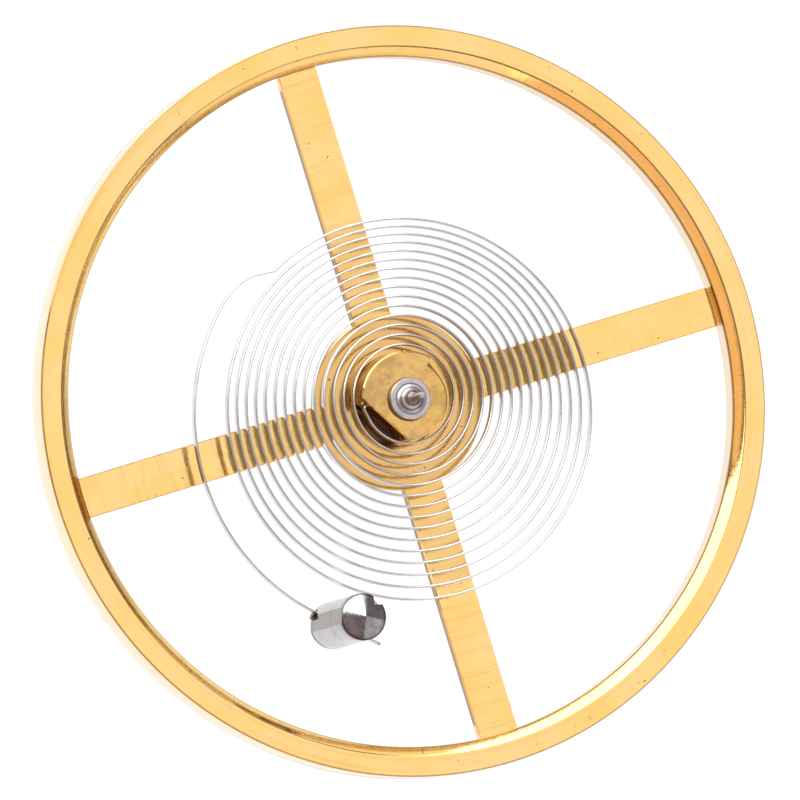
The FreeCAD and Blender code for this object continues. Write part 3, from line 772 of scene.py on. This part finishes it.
def wheel():
    outline = [(SLOPE_INNER, RIM_LOW), (RIM_OUTER, RIM_LOW), (RIM_OUTER, RIM_HIGH),
               (FACE_INNER, RIM_HIGH), (SLOPE_INNER, SLOPE_LOW)]
    profile = []
    for k, corner in enumerate(outline):
        size = OUTER_EDGE_ROUNDING if corner == (RIM_OUTER, RIM_HIGH) else EDGE_ROUNDING
        profile += rounded(corner, outline[k - 1], outline[(k + 1) % len(outline)], size)
    rim = turned("gilt_wheel", profile, 512, closed=True)
    profile = [(WHEEL_BORE, ARM_BOTTOM), (HUB_RADIUS, ARM_BOTTOM), (HUB_RADIUS, ARM_TOP - HUB_EDGE),
               (HUB_RADIUS - HUB_EDGE, ARM_TOP), (WHEEL_BORE, ARM_TOP)]
    hub = turned("hub", profile, 192, closed=True)
    for turn in (0, 90, 180, 270):
        arm = block("arm", (ARM_START, -ARM_HALF_WIDTH, ARM_BOTTOM),
                    (FACE_INNER, ARM_HALF_WIDTH, ARM_TOP), turn, bevel=HUB_EDGE)
        combine(hub, arm, "UNION")
    combine(rim, hub, "UNION")
    metal = gilt("gilt_wheel_metal", patches=0.35, pit_level=0.576, zone=wheel_zone)
    stands_for(rim, "balance_wheel", "balance", metal)


def flare(root, tip, radius):
    """A pivot's root, from the flare's radius down to the pivot's, along one arc."""
    rise, length = radius - PIVOT_RADIUS, abs(tip - root)
    reach = (rise ** 2 + length ** 2) / (2 * rise)
    return [(PIVOT_RADIUS + reach - math.sqrt(reach ** 2 - (tip - z) ** 2), z)
            for z in np.linspace(root, tip, FLARE_POINTS)]


def staff():
    pivot_end = [(0, 0), (0.02, 0), (0.038, 0.005), (0.047, 0.016), (PIVOT_RADIUS, 0.03)]
    seat_low = ARM_BOTTOM - FLANGE_LENGTH - ROLLER_SEAT_LENGTH
    seat_high = seat_low + ROLLER_SEAT_LENGTH
    flare_top = SHOULDER + UPPER_FLARE_LENGTH
    tip = flare_top + PIVOT_LENGTH
    profile = list(pivot_end)
    profile += flare(seat_low, seat_low - LOWER_FLARE_LENGTH, LOWER_FLARE_RADIUS)[::-1]
    profile += [(ROLLER_SEAT_RADIUS, seat_low), (ROLLER_SEAT_RADIUS, seat_high),
                (FLANGE_RADIUS - 0.01, seat_high), (FLANGE_RADIUS, seat_high + 0.01),
                (FLANGE_RADIUS, ARM_BOTTOM), (WHEEL_BORE, ARM_BOTTOM), (WHEEL_BORE, ARM_TOP),
                (0.50, ARM_TOP), (0.48, RIVET_TOP), (COLLET_SEAT_RADIUS, RIVET_TOP)]
    profile += rounded((COLLET_SEAT_RADIUS, SHOULDER), (COLLET_SEAT_RADIUS, RIVET_TOP),
                       (UPPER_FLARE_RADIUS, SHOULDER), 0.022)
    profile += flare(SHOULDER, flare_top, UPPER_FLARE_RADIUS)
    profile += [(radius, tip - z) for radius, z in reversed(pivot_end)]
    piece = turned("turned_staff", profile, 96)
    metal = steel("staff_steel", (0.54, 0.51, 0.53), rings=26.0, depth=0.0045, roughness=(0.28, 0.40),
                  zone=staff_zone)
    stands_for(piece, "balance_staff", "balance", metal, 30.0)


def collet():
    marks = [LOBE_START - 0.1, LOBE_START + 0.1, FLAT_ANGLE - 49.75, FLAT_ANGLE + 38.28]
    degrees = np.array(sorted(set(range(0, 360, 2)) | set(marks)))
    radii = []
    for angle in degrees:
        radius = LOBE_RADIUS if LOBE_START < angle < FLAT_ANGLE else COLLET_RADIUS
        away = abs(angle - FLAT_ANGLE)
        if away < 80:
            radius = min(radius, COLLET_FLAT / math.cos(math.radians(away)))
        radii.append(radius)
    radii = np.array(radii)
    profile = [(COLLET_SEAT_RADIUS, COLLET_LOW), (radii, COLLET_LOW), (radii, COLLET_HIGH - 0.02),
               (radii - 0.02, COLLET_HIGH), (COLLET_SEAT_RADIUS + 0.015, COLLET_HIGH),
               (COLLET_SEAT_RADIUS, COLLET_HIGH - 0.015)]
    piece = turned("gilt_collet", profile, closed=True, angles=np.radians(degrees))
    middle = left_of(heading(FLAT_ANGLE)) * -CROSS_HOLE
    combine(piece, lying_rod("drill", HOLE_RADIUS, (*middle, STRIP_LEVEL), FLAT_ANGLE, 1.2), "DIFFERENCE")
    metal = gilt("gilt_collet_metal", patches=0.9, pit_level=0.4464, zone=collet_zone)
    stands_for(piece, "collet", "balance", metal, 30.0)


def stud():
    run = heading(STUD_RUN)
    spot = (TERMINAL_CENTRE + heading(STUD_ANGLE) * TERMINAL_RADIUS + run * STUD_SETBACK
            - left_of(run) * STRIP_OFFSET)
    profile = [(0, STUD_LOW), (STUD_RADIUS - 0.03, STUD_LOW), (STUD_RADIUS, STUD_LOW + 0.03),
               (STUD_RADIUS, STUD_FACE - 0.008), (STUD_RADIUS - 0.008, STUD_FACE + 0.002),
               (0.006, STUD_HIGH - 0.0025), (0, STUD_HIGH)]
    piece = turned("turned_stud", profile, 128, centre=spot)
    facet = block("facet", (FACET_DEPTH, -0.5, STUD_LOW - 1), (0.8, 0.5, STUD_HIGH + 1),
                  STUD_RUN + FACET_TURN, spot)
    nick = block("nick", (0.155, 0.155, STUD_HIGH - 0.30), (0.6, 0.6, STUD_HIGH + 1),
                 STUD_RUN + NICK_TURN, spot)
    for tool in (facet, nick, lying_rod("drill", HOLE_RADIUS, (*spot, STRIP_LEVEL), STUD_RUN, 1.0)):
        combine(piece, tool, "DIFFERENCE")
    metal = steel("stud_steel", (0.50, 0.465, 0.485), (*spot, 0), 16.0, 0.0022, (0.10, 0.20), stud_zone)
    stands_for(piece, "hairspring_stud", "stud_side", metal, 10.0)


def dress(node, material):
    """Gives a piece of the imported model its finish."""
    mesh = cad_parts[node].data
    mesh.materials.clear()
    mesh.materials.append(material)


put_camera()
put_floor()
put_world((0.25, 0.23, 0.225))

# Each lamp: azimuth and elevation in degrees, distance, width and height in metres, then the
# radiance of its face and its colour. The polished metal mirrors their faces.
put_lamp("top_box", 0, 72, 0.25, 0.20, 0.20, 0.86)
put_lamp("key_box", 101, 31, 0.30, 0.48, 0.37, 3.2)
put_lamp("warm_card", 197, 18, 0.30, 0.68, 0.16, 0.74, (1.0, 0.66, 0.40))
put_lamp("fill_card", 277, 14, 0.30, 0.36, 0.14, 0.85, (1.0, 0.94, 0.84))
put_lamp("side_card", 41, 9, 0.30, 0.27, 0.13, 0.95, (1.0, 0.96, 0.88))
put_lamp("brown_flag", 208, 57, 0.30, 0.34, 0.15, 0.13, (1.0, 0.44, 0.30))
put_lamp("low_card", 311, 39, 0.30, 0.30, 0.14, 0.55)

wheel()
staff()
collet()
stud()
dress("double_roller", steel("roller_steel", (0.62, 0.62, 0.65)))
dress("collet_pin", drawn_brass("collet_pin_brass", FLAT_ANGLE, (0.84, 0.60, 0.26), (0.58, 0.38, 0.15)))
dress("stud_pin", drawn_brass("stud_pin_brass", STUD_RUN, (0.11, 0.09, 0.075), (0.06, 0.05, 0.045)))
dress("impulse_jewel", ruby("ruby_red"))
hairspring()

bpy.context.scene.view_settings.view_transform = "Standard"
